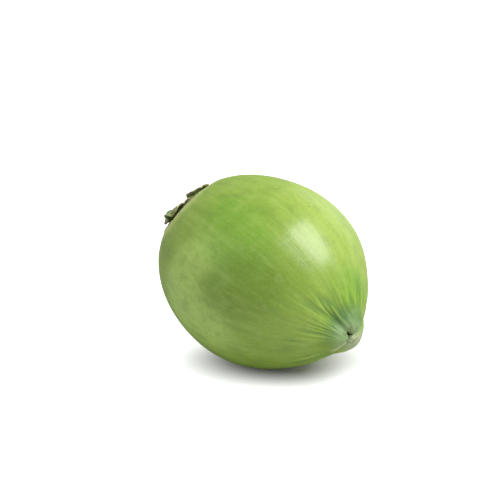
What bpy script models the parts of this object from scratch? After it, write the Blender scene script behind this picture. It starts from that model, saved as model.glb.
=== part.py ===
"""Green coconut, whole and as picked, lying on its side where it comes to rest.

Everything is modelled in the fruit's own frame and then laid down: +Z runs from the calyx
end to the tip, and +X is the middle of the flat face that the fruit lies on.
All sizes are in metres.
"""

import math

import bmesh
import bpy
import numpy as np
from mathutils import Matrix, Vector, noise

# Driving dimensions of the husk
FRUIT_LENGTH = 0.1780
FRUIT_WIDTH = 0.1404
WIDEST_SHARE = 0.4765  # of the length, measured from the calyx end
CALYX_END_FULLNESS = 0.447  # a half stands for an ellipse, less is blunter, more is leaner
TIP_END_FULLNESS = 0.658
FULLNESS_BLEND = 0.655  # share of each end over which one runs into the other

# Three-sided form: three flat faces with rounded ridges between them
SIDES = 3
FACE_TURN = 0.085  # of the lowest face's middle, off the fruit frame's X
FACE_DEPTH = 0.0216  # share of the radius that a face lies in and a ridge stands out
TIP_SHIFT = (-0.0159, -0.0037)  # how far the tip stands off the calyx end's axis, along X and Y
BOW = (0.0023, 0.0048)  # how far the middle is bowed out, along X and Y

# Nub at the tip: three lobes with a groove between each pair and a slit where they meet
NUB_LENGTH = 0.0058
NUB_RADIUS = 0.0190
NUB_HEIGHT = 0.0150
NUB_TURN = math.radians(-13)  # of the first groove
SLIT_PLACE = (-0.0035, -0.0047)  # off the middle of the nub, along X and Y
LOBE_RISE = 0.0011
LOBE_PLACE = 0.0140  # all these distances are from the slit
LOBE_SPREAD = 0.0100
GROOVE_DEPTH = 0.0016
GROOVE_WIDTH = 0.0022
GROOVE_REACH = 0.0270
SLIT_DEPTH = 0.0032
SLIT_REACH = 0.0052
SLIT_WIDTH = 0.0010

# Creases that run in towards the nub, and the soft dents of the whole skin
CREASE_COUNTS = (19, 26)
CREASE_DEPTH = 0.00042
CREASE_PLACE = 0.036  # distance from the tip where they are deepest
CREASE_SPREAD = 0.020
DENT_DEPTH = 0.0006
DENT_SIZE = 0.045

# Seat of the calyx: the end is flattened across, aslant, and dished in the middle
SEAT_LEAN = (-0.3935, -0.3906)  # of the line square to the seat, along X and Y for each unit of -Z
SEAT_CUT = 0.0056
SEAT_DISH_RADIUS = 0.0250
SEAT_DISH_DEPTH = 0.0026
SEAT_ROUNDING = 0.0020
STEEP_SIDE = math.radians(305)  # the side of the seat on which the skin falls away the most
SHOULDER_RISE = (0.00315, 0.00095)  # mean, and what the steep side adds
SHOULDER_BEND = (13.0, 5.7)  # the same for its curvature, in turns of slope per metre

# Calyx: an inner whorl of three thick bracts side by side, and an outer one of three over
# them, laid like shingles
CLEARANCE = 0.00038
BED_SLACK = 0.00045  # the husk's dents and ridges stand up to this far over the plain bed
WHORL_TURNS = (math.radians(26), math.radians(86))
BRACT_ROOT = 0.0062
BRACT_REACHES = (0.0278, 0.0240)
BRACT_HALF_SPREADS = (math.radians(58.5), math.radians(66))
BRACT_THICKNESSES = (0.0012, 0.0021)
MARGIN_THICKNESS_SHARE = 0.55
SHINGLE_RISE = 0.0021  # of the side margin that lies over the next outer bract
SHINGLE_SHARES = (-0.45, -0.95)
TIP_ROUNDING = (0.14, 0.24)  # share of its reach that a bract loses at its two sides
INNER_DOME = 0.0012  # how far the middle of an inner bract swells
OUTER_DOMES = (0.0036, 0.0022, 0.0028)
DOME_SKEW = 1.6  # more than 1 puts the swelling nearer the tip than the root
EDGE_RAGGEDNESS = 0.0020
NOTCHES = (
    (-0.32, 0.0022),
    (0.18, 0.0030),
    (-0.55, 0.0034),
    (0.40, 0.0020),
    (0.05, 0.0018),
    (-0.20, 0.0026),
)
NOTCH_WIDTH = 0.07
TIP_LIFTS = (0.0008, 0.0004, 0.0006)  # how far the tips of the outer bracts stand off
TIP_LIFT_SPREAD = 0.45
SPRUNG_BRACT = 2  # the outer one whose side margin has sprung up off its neighbour
SPRUNG_RISE = 0.0022
SPRUNG_SPREAD = 0.45
CURLED_BRACT = 1  # the outer one with a narrow tip that curls up off the rest
CURL_PLACE = -0.03
CURL_SPREAD = 0.075
CURL_RISE = 0.0058
CURL_REACH = 0.0022

# Torn end of the stalk in the middle of the calyx
STUB_SIZE = (0.0104, 0.0068)
STUB_HEIGHT = 0.0066
STUB_RAGGEDNESS = 0.0007

# Resting place
FLAT_DEPTH = 0.0006
REST_SOFTNESS = 0.00008  # skin within this of the lowest point also bears when the rest is sought

# Mesh fineness
HUSK_SEGMENTS = 72
HUSK_RINGS = 54
BRACT_STEPS = (7, 30)
PULL_RADIUS = 0.024  # the rings round the tip close in on the slit from here

HALF_WIDTH = FRUIT_WIDTH / 2
BODY_LENGTH = FRUIT_LENGTH - NUB_LENGTH
WIDEST_HEIGHT = WIDEST_SHARE * FRUIT_LENGTH


def clear_scene():
    for thing in list(bpy.data.objects):
        bpy.data.objects.remove(thing, do_unlink=True)


def smooth_step(low, high, value):
    share = np.clip((value - low) / (high - low), 0, 1)
    return share * share * (3 - 2 * share)


def bell(value, width):
    return np.exp(-((value / width) ** 2))


def body_radius(height):
    """Radius of the plain body at heights above the calyx end."""
    reach = np.where(height < WIDEST_HEIGHT, WIDEST_HEIGHT, BODY_LENGTH - WIDEST_HEIGHT)
    share = np.clip((height - WIDEST_HEIGHT) / reach, -1, 1)
    blend = smooth_step(-FULLNESS_BLEND, FULLNESS_BLEND, share)
    fullness = CALYX_END_FULLNESS + (TIP_END_FULLNESS - CALYX_END_FULLNESS) * blend
    return HALF_WIDTH * (1 - share**2) ** fullness


def nub_radius(height):
    """Radius of the rounded nub, an upright half of an ellipse, at heights near the tip."""
    rise = (height - (FRUIT_LENGTH - NUB_HEIGHT)) / NUB_HEIGHT
    return NUB_RADIUS * np.sqrt(np.clip(1 - rise * np.abs(rise), 0, 1))


def make_outline():
    """Heights and radii down the fruit's outline, from the calyx end to the tip, with the
    distance walked along it."""
    heights = FRUIT_LENGTH * (1 - np.cos(np.linspace(0, np.pi, 2001))) / 2
    body, nub = body_radius(heights), nub_radius(heights)
    blend = 0.004 * smooth_step(0, 0.010, FRUIT_LENGTH - heights)
    joined = (body + nub + np.sqrt((body - nub) ** 2 + blend**2)) / 2
    near_tip = smooth_step(FRUIT_LENGTH - 0.030, FRUIT_LENGTH - 0.018, heights)
    radii = body + near_tip * (joined - body)
    steps = np.hypot(np.diff(heights), np.diff(radii))
    return heights, radii, np.concatenate([[0], np.cumsum(steps)])


OUTLINE_HEIGHTS, OUTLINE_RADII, OUTLINE_WALK = make_outline()
WHOLE_WALK = OUTLINE_WALK[-1]


def smooth_least(first, second, blend):
    """The lesser of two values, with the change from one to the other rounded off."""
    return (first + second - np.sqrt((first - second) ** 2 + blend**2)) / 2


def centre_line(along):
    """Where the middle of the fruit lies at a share of its length, along X and Y."""
    swell = 4 * along * (1 - along)
    return TIP_SHIFT[0] * along + BOW[0] * swell, TIP_SHIFT[1] * along + BOW[1] * swell


def skin_relief(walk_to_tip, turn, radius, height):
    """How far the skin stands out of the plain outline: lobes, grooves, slit, creases, dents."""
    across, aside = radius * math.cos(turn), radius * math.sin(turn)
    from_slit = math.hypot(across - SLIT_PLACE[0], aside - SLIT_PLACE[1])
    slit_turn = math.atan2(aside - SLIT_PLACE[1], across - SLIT_PLACE[0]) - NUB_TURN
    near_tip = 1 - smooth_step(0.035, 0.050, walk_to_tip)
    off_groove = from_slit * abs(math.sin(SIDES * slit_turn / 2)) * 2 / SIDES
    fade = 1 - smooth_step(0.35 * GROOVE_REACH, GROOVE_REACH, from_slit)
    lobes = -LOBE_RISE * math.cos(SIDES * slit_turn) * bell(from_slit - LOBE_PLACE, LOBE_SPREAD)
    grooves = -GROOVE_DEPTH * fade * bell(off_groove, GROOVE_WIDTH)
    slit = -SLIT_DEPTH * bell(off_groove, SLIT_WIDTH) * (1 - smooth_step(0, SLIT_REACH, from_slit))
    first, second = CREASE_COUNTS
    waves = math.sin(first * turn + 1.3) + math.sin(second * turn + 4.1 + 2 * math.cos(turn))
    creases = CREASE_DEPTH * waves * bell(walk_to_tip - CREASE_PLACE, CREASE_SPREAD)
    off_face = smooth_step(0.5, 1.2, abs((turn + math.pi) % (2 * math.pi) - math.pi))
    dents = DENT_DEPTH * off_face * noise.noise(Vector((across, aside, height)) / DENT_SIZE)
    return near_tip * (lobes + grooves + slit) + creases + dents


def body_point(share, turn, with_relief=True):
    """Point of the skin at a share of the walk from calyx end to tip, and a turn round the axis,
    before the calyx end is flattened."""
    walk = share * WHOLE_WALK
    height = float(np.interp(walk, OUTLINE_WALK, OUTLINE_HEIGHTS))
    radius = float(np.interp(walk, OUTLINE_WALK, OUTLINE_RADII))
    near = np.clip([walk - 0.0005, walk + 0.0005], 0, WHOLE_WALK)
    upwards = np.diff(np.interp(near, OUTLINE_WALK, OUTLINE_HEIGHTS))[0]
    outwards = np.diff(np.interp(near, OUTLINE_WALK, OUTLINE_RADII))[0]
    step = math.hypot(upwards, outwards)
    along = height / FRUIT_LENGTH
    flatness = FACE_DEPTH * (0.3 + 0.7 * along) * math.cos(SIDES * (turn - FACE_TURN))
    relief = 0.0
    if with_relief:
        relief = float(skin_relief(WHOLE_WALK - walk, turn, radius, height))
    radial = radius * (1 - flatness) + relief * upwards / step
    middle = centre_line(along)
    return Vector(
        (
            radial * math.cos(turn) + middle[0],
            radial * math.sin(turn) + middle[1],
            height - relief * outwards / step,
        )
    )


def make_seat():
    """Middle of the calyx's seat, the direction square to it, and two directions along it."""
    square = Vector((*SEAT_LEAN, -1)).normalized()
    cap = [
        body_point(share, turn, with_relief=False)
        for share in np.linspace(0, 0.4, 90)
        for turn in np.linspace(0, 2 * math.pi, 90, endpoint=False)
    ]
    reach = np.array([point.dot(square) for point in cap])
    weights = np.exp((reach - reach.max()) / 0.0015)
    middle = Vector((np.array(cap) * weights[:, None]).sum(axis=0) / weights.sum())
    middle += square * (reach.max() - SEAT_CUT - middle.dot(square))
    first = (Vector((1, 0, 0)) - square * square.x).normalized()
    return middle, square, first, square.cross(first)


SEAT_MIDDLE, SEAT_SQUARE, SEAT_FIRST, SEAT_SECOND = make_seat()


def seat_height(radius):
    """Height of the dished seat over its flat plane, at a radius round its middle."""
    dish = SEAT_DISH_DEPTH * (1 - smooth_step(0.5 * SEAT_DISH_RADIUS, 1.1 * SEAT_DISH_RADIUS, radius))
    return -dish


def husk_point(share, turn):
    """Point of the finished skin: the body, with its calyx end pressed down into the seat."""
    point = body_point(share, turn)
    offset = point - SEAT_MIDDLE
    over = offset.dot(SEAT_SQUARE)
    radius = (offset - over * SEAT_SQUARE).length
    pressed = float(smooth_least(over, seat_height(radius), SEAT_ROUNDING))
    near = float(smooth_step(-0.014, -0.004, over))
    return point + SEAT_SQUARE * (pressed - over) * near


def ring_shares(rings):
    """Shares of the walk at which the rings lie: closer together near the tip."""
    shares = np.linspace(0, 1, 2001)
    to_tip = (1 - shares) * WHOLE_WALK
    closeness = 1 + 4.5 * bell(to_tip, 0.012) + 1.2 * bell(to_tip, 0.040)
    count = np.concatenate([[0], np.cumsum((closeness[1:] + closeness[:-1]) / 2)])
    return np.interp(np.linspace(0, 1, rings + 1), count / count[-1], shares)


def make_material(name, colour, roughness):
    material = bpy.data.materials.new(name)
    material.use_nodes = True
    shader = material.node_tree.nodes["Principled BSDF"]
    shader.inputs["Base Color"].default_value = (*colour, 1)
    shader.inputs["Roughness"].default_value = roughness
    shader.inputs["Metallic"].default_value = 0
    material.diffuse_color = (*colour, 1)
    return material


def add_object(name, mesh, material, collection):
    piece = bpy.data.objects.new(name, mesh)
    mesh.materials.append(material)
    collection.objects.link(piece)
    return piece


def drawn_to_slit(share, turn):
    """Moves a share and turn near the tip so that the rings close in on the slit."""
    walk = share * WHOLE_WALK
    radius = np.interp(walk, OUTLINE_WALK, OUTLINE_RADII)
    if walk < WHOLE_WALK / 2 or radius > PULL_RADIUS:
        return share, turn
    pull = 1 - smooth_step(0, PULL_RADIUS, radius)
    across = radius * math.cos(turn) + SLIT_PLACE[0] * pull
    aside = radius * math.sin(turn) + SLIT_PLACE[1] * pull
    tip_end = OUTLINE_HEIGHTS > WIDEST_HEIGHT * 1.2
    walk = np.interp(
        math.hypot(across, aside), OUTLINE_RADII[tip_end][::-1], OUTLINE_WALK[tip_end][::-1]
    )
    return walk / WHOLE_WALK, math.atan2(aside, across)


def make_husk(collection, material):
    """The husk: a sphere's rings and segments, each point moved onto the fruit's skin."""
    shares = ring_shares(HUSK_RINGS)
    shape = bmesh.new()
    bmesh.ops.create_uvsphere(
        shape, u_segments=HUSK_SEGMENTS, v_segments=HUSK_RINGS, radius=1
    )
    for point in shape.verts:
        ring = round(HUSK_RINGS * (1 - math.acos(max(-1, min(1, point.co.z))) / math.pi))
        turn = math.atan2(point.co.y, point.co.x)
        point.co = husk_point(*drawn_to_slit(shares[ring], turn))
    bmesh.ops.recalc_face_normals(shape, faces=shape.faces)
    mesh = bpy.data.meshes.new("husk")
    shape.to_mesh(mesh)
    shape.free()
    mesh.shade_smooth()
    return add_object("husk", mesh, material, collection)


def calyx_point(radius, turn, rise):
    """Point at a rise over the skin of the seat and its shoulder, at a radius and turn round
    the seat's middle."""
    steep = math.cos(turn - STEEP_SIDE)
    bend = SHOULDER_BEND[0] + SHOULDER_BEND[1] * steep
    shoulder = SHOULDER_RISE[0] + SHOULDER_RISE[1] * steep - bend * radius**2 / 2
    bed = float(smooth_least(shoulder, seat_height(radius), SEAT_ROUNDING))
    along = SEAT_FIRST * math.cos(turn) + SEAT_SECOND * math.sin(turn)
    return SEAT_MIDDLE + along * radius + SEAT_SQUARE * (bed + rise)


def swelling(whorl, radius, turn):
    """Share, from 0 to 1, of a whorl's swelling: greatest in the middle of its three bracts."""
    share = np.clip((radius - BRACT_ROOT) / (BRACT_REACHES[whorl] - BRACT_ROOT), 0, 1)
    middles = 0.6 + 0.4 * math.cos(SIDES * (turn - WHORL_TURNS[whorl]))
    return math.sin(math.pi * share**DOME_SKEW) * middles


def bract_rise(whorl, number, radius, turn, outwards, aside, curl):
    """Height of a bract's inner face over the seat, at its share outwards and share aside."""
    rise = CLEARANCE + BED_SLACK + INNER_DOME * swelling(0, radius, turn)
    if whorl:
        rise += BRACT_THICKNESSES[0] + CLEARANCE + OUTER_DOMES[number] * swelling(1, radius, turn)
        rise += SHINGLE_RISE * float(smooth_step(*SHINGLE_SHARES, aside))
        rise += TIP_LIFTS[number] * bell(aside, TIP_LIFT_SPREAD) * outwards**3
        rise += CURL_RISE * curl * outwards**3
    if whorl and number == SPRUNG_BRACT - 1:
        rise += SPRUNG_RISE * bell(aside + 1, SPRUNG_SPREAD) * outwards
    return rise


def make_bract(name, whorl, number, collection, material):
    """One bract: a grid bent over the husk's end, thickest in its middle, with a torn edge."""
    middle = WHORL_TURNS[whorl] + number * 2 * math.pi / SIDES
    spread, reach = BRACT_HALF_SPREADS[whorl], BRACT_REACHES[whorl]
    notch_place, notch_depth = NOTCHES[whorl * SIDES + number]
    shape = bmesh.new()
    bmesh.ops.create_grid(
        shape, x_segments=BRACT_STEPS[0], y_segments=BRACT_STEPS[1], size=1
    )
    thickness = {}
    for point in shape.verts:
        outwards, aside = (point.co.x + 1) / 2, point.co.y
        turn = middle + aside * spread
        ragged = noise.noise(Vector((aside * 4.3, 7.1 * whorl + 3.7 * number, 0.4)))
        ragged += 0.5 * noise.noise(Vector((aside * 11.0, 5.3 * whorl + 2.9 * number, 1.7)))
        far = reach * (1 - TIP_ROUNDING[whorl] * abs(aside) ** 2.4) + EDGE_RAGGEDNESS * ragged
        far -= notch_depth * bell(aside - notch_place, NOTCH_WIDTH)
        curl = 0.0
        if whorl and number == CURLED_BRACT - 1:
            curl = bell(aside - CURL_PLACE, CURL_SPREAD)
        radius = BRACT_ROOT + (far + CURL_REACH * curl - BRACT_ROOT) * outwards
        rise = bract_rise(whorl, number, radius, turn, outwards, aside, curl)
        thickness[point.index] = MARGIN_THICKNESS_SHARE + (1 - MARGIN_THICKNESS_SHARE) * (
            (1 - outwards**4) * (1 - aside**4)
        )
        point.co = calyx_point(radius, turn, rise)
    mesh = bpy.data.meshes.new(name)
    shape.to_mesh(mesh)
    shape.free()
    mesh.shade_smooth()
    bract = add_object(name, mesh, material, collection)
    group = bract.vertex_groups.new(name="thickness")
    for index, weight in thickness.items():
        group.add([index], weight, "REPLACE")
    solid = bract.modifiers.new("thickness", "SOLIDIFY")
    solid.thickness = BRACT_THICKNESSES[whorl]
    solid.offset = 1
    solid.vertex_group = group.name
    solid.use_even_offset = True
    return bract


def make_stub(collection, material):
    """The torn stalk end: an oval peg, square to the seat, whose outer end is uneven."""
    shape = bmesh.new()
    bmesh.ops.create_cone(
        shape, cap_ends=True, cap_tris=True, segments=24, radius1=0.5, radius2=0.5, depth=1
    )
    for point in shape.verts:
        outer = point.co.z > 0
        ragged = noise.noise(point.co * 4.1 + Vector((3, 5, 7)))
        narrowing = 0.86 if outer else 1
        across = point.co.x * STUB_SIZE[0] * narrowing
        aside = point.co.y * STUB_SIZE[1] * narrowing
        rise = CLEARANCE + (STUB_HEIGHT + STUB_RAGGEDNESS * 2 * ragged) * outer
        point.co = calyx_point(math.hypot(across, aside), math.atan2(aside, across), rise)
    bmesh.ops.recalc_face_normals(shape, faces=shape.faces)
    mesh = bpy.data.meshes.new("stalk_stub")
    shape.to_mesh(mesh)
    shape.free()
    return add_object("stalk_stub", mesh, material, collection)


def volume_centre(mesh):
    """Centre of the solid inside a closed mesh, summed over its triangles."""
    mesh.calc_loop_triangles()
    points = np.array([point.co for point in mesh.vertices])
    corners = points[np.array([face.vertices for face in mesh.loop_triangles])]
    weights = np.linalg.det(corners)
    return (corners.sum(axis=1) / 4 * weights[:, None]).sum(axis=0) / weights.sum()


def laid_down(tilt, roll):
    """Turns the fruit's frame onto its side: tip towards +X, dipped by the tilt."""
    return Matrix.Rotation(math.pi / 2 + tilt, 3, "Y") @ Matrix.Rotation(roll, 3, "Z")


def find_rest(centre):
    """Tilt and roll at which the centre of mass stands lowest over the surface that it lies on.

    The smooth skin round the lower face is sampled every millimetre or so, and the look round
    is made finer and finer, from two degrees down to a hundredth.
    """
    underside = [
        husk_point(share, turn)
        for share in np.linspace(0.22, 0.82, 150)
        for turn in np.radians(np.linspace(-44, 44, 89))
    ]
    points = np.array(underside) - centre

    def standing_height(tilt, roll):
        heights = points @ -np.array(laid_down(tilt, roll))[2]
        top = heights.max()
        return top + REST_SOFTNESS * np.log(np.exp((heights - top) / REST_SOFTNESS).sum())

    tilt, roll, step = math.radians(20), 0.0, math.radians(2)
    while step > math.radians(0.01):
        around = [(tilt + i * step, roll + j * step) for i in (-1, 0, 1) for j in (-1, 0, 1)]
        nearest = min(around, key=lambda pose: standing_height(*pose))
        if nearest == (tilt, roll):
            step /= 2
        tilt, roll = nearest
    down = -np.array(laid_down(tilt, roll))[2]
    return (points @ down).max(), tilt, roll


def cut_flat(mesh, centre, height, tilt, roll):
    """Takes a thin cap off the skin where the fruit lies, square to the line of its weight."""
    down = -laid_down(tilt, roll).row[2]
    shape = bmesh.new()
    shape.from_mesh(mesh)
    everything = list(shape.verts) + list(shape.edges) + list(shape.faces)
    plane_point = Vector(centre) + down * (height - FLAT_DEPTH)
    cut = bmesh.ops.bisect_plane(
        shape, geom=everything, plane_co=plane_point, plane_no=down, clear_outer=True, dist=1e-6
    )
    border = [piece for piece in cut["geom_cut"] if isinstance(piece, bmesh.types.BMEdge)]
    flat = bmesh.ops.contextual_create(shape, geom=border)["faces"]
    for face in flat:
        face.smooth = False
    bmesh.ops.recalc_face_normals(shape, faces=shape.faces)
    shape.to_mesh(mesh)
    shape.free()


def lay_down(pieces, husk, collection):
    """Finds the pose that the husk comes to rest in, cuts the flat there, and places all pieces."""
    centre = volume_centre(husk.data)
    height, tilt, roll = find_rest(centre)
    cut_flat(husk.data, centre, height, tilt, roll)
    fruit = bpy.data.objects.new("fruit_frame", None)
    fruit.empty_display_size = 0.05
    collection.objects.link(fruit)
    for piece in pieces:
        piece.parent = fruit
    fruit.matrix_world = laid_down(tilt, roll).to_4x4()
    bpy.context.view_layer.update()
    graph = bpy.context.evaluated_depsgraph_get()
    corners = []
    for piece in pieces:
        evaluated = piece.evaluated_get(graph)
        shown = evaluated.to_mesh()
        corners += [evaluated.matrix_world @ point.co for point in shown.vertices]
        evaluated.to_mesh_clear()
    lows = [min(corner[axis] for corner in corners) for axis in range(3)]
    highs = [max(corner[axis] for corner in corners) for axis in range(3)]
    shift = Vector((-(lows[0] + highs[0]) / 2, -(lows[1] + highs[1]) / 2, -lows[2]))
    fruit.location = shift
    bpy.context.view_layer.update()
    rest = fruit.matrix_world @ Vector(centre)
    print(f"tilt {math.degrees(tilt):.3f} deg, roll {math.degrees(roll):.3f} deg")
    print("fruit frame's origin:", tuple(round(value, 6) for value in shift))
    print("centre of mass over the flat:", tuple(round(value, 6) for value in rest))
    low = [fruit.matrix_world @ point.co for point in husk.data.vertices]
    low = [point for point in low if point.z < 0.00002]
    print("flat:", len(low), "corners, X", min(p.x for p in low), max(p.x for p in low))
    print("Y", min(p.y for p in low), max(p.y for p in low))
    return fruit


def main():
    clear_scene()
    collection = bpy.data.collections.new("green_coconut")
    bpy.context.scene.collection.children.link(collection)
    skin = make_material("green_skin", (0.34, 0.52, 0.08), 0.38)
    petal = make_material("inner_bract", (0.22, 0.30, 0.10), 0.6)
    sepal = make_material("outer_bract", (0.20, 0.28, 0.11), 0.6)
    torn = make_material("torn_stalk", (0.72, 0.58, 0.32), 0.8)
    husk = make_husk(collection, skin)
    pieces = [husk]
    for number in range(SIDES):
        pieces.append(make_bract(f"inner_bract_{number + 1}", 0, number, collection, petal))
    for number in range(SIDES):
        pieces.append(make_bract(f"outer_bract_{number + 1}", 1, number, collection, sepal))
    pieces.append(make_stub(collection, torn))
    lay_down(pieces, husk, collection)


main()
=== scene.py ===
# %% [markdown]
# # A whole green coconut
#
# A young coconut in its smooth green husk lies on its side on a white floor. At one end sits
# the calyx, six leathery bracts round the torn stalk, and at the other the husk closes in
# three low lobes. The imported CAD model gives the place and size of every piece. This script
# makes the fine surfaces and the finishes over it, in the same frame, in metres.

# %% Load the frame
import math

import bpy
import numpy as np
from mathutils import Matrix, Vector, noise


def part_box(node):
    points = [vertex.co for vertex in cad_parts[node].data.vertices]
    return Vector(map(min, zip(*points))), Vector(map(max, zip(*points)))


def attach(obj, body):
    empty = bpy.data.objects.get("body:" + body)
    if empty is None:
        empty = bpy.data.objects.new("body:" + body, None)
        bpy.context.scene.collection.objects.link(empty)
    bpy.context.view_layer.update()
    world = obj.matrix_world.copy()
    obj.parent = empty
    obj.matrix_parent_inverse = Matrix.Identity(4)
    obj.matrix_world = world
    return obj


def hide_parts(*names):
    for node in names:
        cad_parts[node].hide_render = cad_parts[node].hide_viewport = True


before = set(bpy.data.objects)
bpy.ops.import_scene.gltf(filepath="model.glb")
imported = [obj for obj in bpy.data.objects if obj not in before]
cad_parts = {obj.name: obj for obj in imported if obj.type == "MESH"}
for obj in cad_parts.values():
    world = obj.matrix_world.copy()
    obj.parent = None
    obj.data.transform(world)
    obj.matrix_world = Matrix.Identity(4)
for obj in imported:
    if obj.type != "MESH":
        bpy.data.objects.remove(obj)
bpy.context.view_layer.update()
print("CAD nodes:", ", ".join(sorted(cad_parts)))

# %% [markdown]
# ## The camera
#
# A product picture looks slightly down on the fruit, from the side where the tip comes
# towards the viewer. The camera could be aimed with a Track To constraint, but its three own
# directions are worked out here from a turn and a height angle, because the fruit stands a
# little off the middle of the picture, and a shift of the whole camera keeps its lines true.

# %% Place the camera
CAMERA_TURN = math.radians(45.85)
CAMERA_HEIGHT = math.radians(18)
CAMERA_DISTANCE = 0.6875
FIELD_OF_VIEW = math.radians(30)
PICTURE_WIDTH = 500
FRUIT_MIDDLE = Vector((-0.0048, -0.0009, 0.0680))
FRUIT_MIDDLE_PIXEL = (264.07, 272.19)

BACK = Vector(
    (
        math.sin(CAMERA_TURN) * math.cos(CAMERA_HEIGHT),
        -math.cos(CAMERA_TURN) * math.cos(CAMERA_HEIGHT),
        math.sin(CAMERA_HEIGHT),
    )
)
RIGHT = Vector((math.cos(CAMERA_TURN), math.sin(CAMERA_TURN), 0))
UP = BACK.cross(RIGHT)
PIXEL_SIZE = 2 * math.tan(FIELD_OF_VIEW / 2) * CAMERA_DISTANCE / PICTURE_WIDTH
pixels_right = FRUIT_MIDDLE_PIXEL[0] - PICTURE_WIDTH / 2
pixels_down = FRUIT_MIDDLE_PIXEL[1] - PICTURE_WIDTH / 2

bpy.ops.object.camera_add()
camera = bpy.context.object
camera.name = "camera"
camera.data.sensor_fit = "HORIZONTAL"
camera.data.angle = FIELD_OF_VIEW
camera.matrix_world = Matrix((RIGHT, UP, BACK)).transposed().to_4x4()
camera.location = (
    FRUIT_MIDDLE + BACK * CAMERA_DISTANCE + (UP * pixels_down - RIGHT * pixels_right) * PIXEL_SIZE
)
bpy.context.scene.camera = camera
print("one pixel at the fruit's middle is", round(PIXEL_SIZE * 1000, 2), "mm")

# %% [markdown]
# ## The outline of the husk
#
# A coconut's husk is close to an egg that is drawn out at both ends, so one formula gives its
# radius at each height: an ellipse whose power changes slowly from the blunt calyx end to the
# leaner tip. A Screw modifier could turn such a profile, but the fruit isn't quite round, so
# the formula is kept and used to move the points of a sphere. The walk is the distance along
# the skin from the calyx end, and it spaces the rings evenly.

# %% The outline's formula
FRUIT_LENGTH = 0.1780
FRUIT_WIDTH = 0.1404
WIDEST_SHARE = 0.4765
CALYX_END_FULLNESS = 0.447
TIP_END_FULLNESS = 0.658
FULLNESS_BLEND = 0.655
NUB_LENGTH = 0.0058
NUB_RADIUS = 0.0190
NUB_HEIGHT = 0.0150
NUB_BLEND = 0.004
NUB_BLEND_REACH = 0.010
NUB_JOIN = (0.030, 0.018)
PROFILE_STEPS = 4001
WIDEST_HEIGHT = WIDEST_SHARE * FRUIT_LENGTH


def smooth_step(low, high, value):
    """Runs from 0 at low to 1 at high, level at both ends."""
    share = np.clip((value - low) / (high - low), 0, 1)
    return share * share * (3 - 2 * share)


def fade_out(low, high, value):
    """Runs from 1 at low to 0 at high, level at both ends."""
    return 1 - smooth_step(low, high, value)


def bell(value, width):
    """A rounded hump, 1 high at zero."""
    return np.exp(-((value / width) ** 2))


def smooth_least(first, second, blend):
    """The lesser of two values, with the change from one to the other rounded off."""
    return (first + second - np.sqrt((first - second) ** 2 + blend**2)) / 2


def body_radius(height):
    """Radius of the plain body at heights above the calyx end."""
    tip_reach = FRUIT_LENGTH - NUB_LENGTH - WIDEST_HEIGHT
    reach = np.where(height < WIDEST_HEIGHT, WIDEST_HEIGHT, tip_reach)
    share = np.clip((height - WIDEST_HEIGHT) / reach, -1, 1)
    blend = smooth_step(-FULLNESS_BLEND, FULLNESS_BLEND, share)
    fullness = CALYX_END_FULLNESS + (TIP_END_FULLNESS - CALYX_END_FULLNESS) * blend
    return FRUIT_WIDTH / 2 * (1 - share**2) ** fullness


def nub_radius(height):
    """Radius of the rounded nub at the tip."""
    rise = (height - (FRUIT_LENGTH - NUB_HEIGHT)) / NUB_HEIGHT
    return NUB_RADIUS * np.sqrt(np.clip(1 - rise * np.abs(rise), 0, 1))


heights = FRUIT_LENGTH * (1 - np.cos(np.linspace(0, np.pi, PROFILE_STEPS))) / 2
body = body_radius(heights)
nub = nub_radius(heights)
blend = NUB_BLEND * smooth_step(0, NUB_BLEND_REACH, FRUIT_LENGTH - heights)
joined = (body + nub + np.sqrt((body - nub) ** 2 + blend**2)) / 2
near_tip = smooth_step(FRUIT_LENGTH - NUB_JOIN[0], FRUIT_LENGTH - NUB_JOIN[1], heights)
radii = body + near_tip * (joined - body)
walks = np.concatenate([[0], np.cumsum(np.hypot(np.diff(heights), np.diff(radii)))])
WHOLE_WALK = walks[-1]
print("from calyx to tip over the skin:", round(WHOLE_WALK * 1000), "mm")

# %% [markdown]
# ## Flat faces, lobes and furrows
#
# Coconuts grow pressed against each other, so the husk has three flat faces with rounded
# ridges between them. At the tip three lobes meet in a small slit, and the skin runs into it
# in narrow furrows, where it has shrunk over the fibres below. A sculptor would draw them with
# a crease brush. Here a noise that is stretched along the fruit is used: wherever it passes
# through one level there is a furrow, and through another a ridge, so they wander, split and
# end as real ones do. A plain shift, such as z + 9, only reads another part of a noise.

# %% The skin's relief
SIDES = 3
FACE_TURN = 0.085
FACE_DEPTH = 0.0216
FACE_SHARES = (0.3, 0.7)
TIP_SHIFT = (-0.0159, -0.0037)
BOW = (0.0023, 0.0048)
NUB_TURN = math.radians(-13)
SLIT_PLACE = (-0.0035, -0.0047)
LOBE_RISE = 0.0011
LOBE_PLACE = 0.0140
LOBE_SPREAD = 0.0100
RELIEF_END = (0.035, 0.050)
GROOVE_DEPTH = 0.0017
GROOVE_WIDTH = 0.0021
GROOVE_REACH = 0.0270
GROOVE_FADE_START = 0.35 * GROOVE_REACH
SLIT_DEPTH = 0.0036
SLIT_REACH = 0.0056
SLIT_WIDTH = 0.0009
DENT_DEPTH = 0.0006
DENT_SIZE = 0.045
REST_SIDE_TURNS = (0.5, 1.2)
FURROWS_ROUND = 6.5
FURROW_DEPTH = 0.00070
RIDGE_HEIGHT = 0.00035
FURROW_LEVEL = -0.18
RIDGE_LEVEL = 0.28
FURROW_WIDTH = 0.24
FURROW_WANDER = 0.034
FURROW_PLACE = 0.034
FURROW_SPREAD = 0.019
FINE_FURROW_SHARE = 0.4
FINE_FURROW_CROWDING = 2.3
MEAN_STRENGTH = 0.55
STRENGTH_CHANGE = 0.9
STRENGTHS_ROUND = 3.1
STRENGTHS_ALONG = 0.7
RIB_DEPTH = 0.00022
RIBS_ROUND = 5.3
RIB_WANDER = 0.09
RIB_START = (0.004, 0.03)
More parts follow.
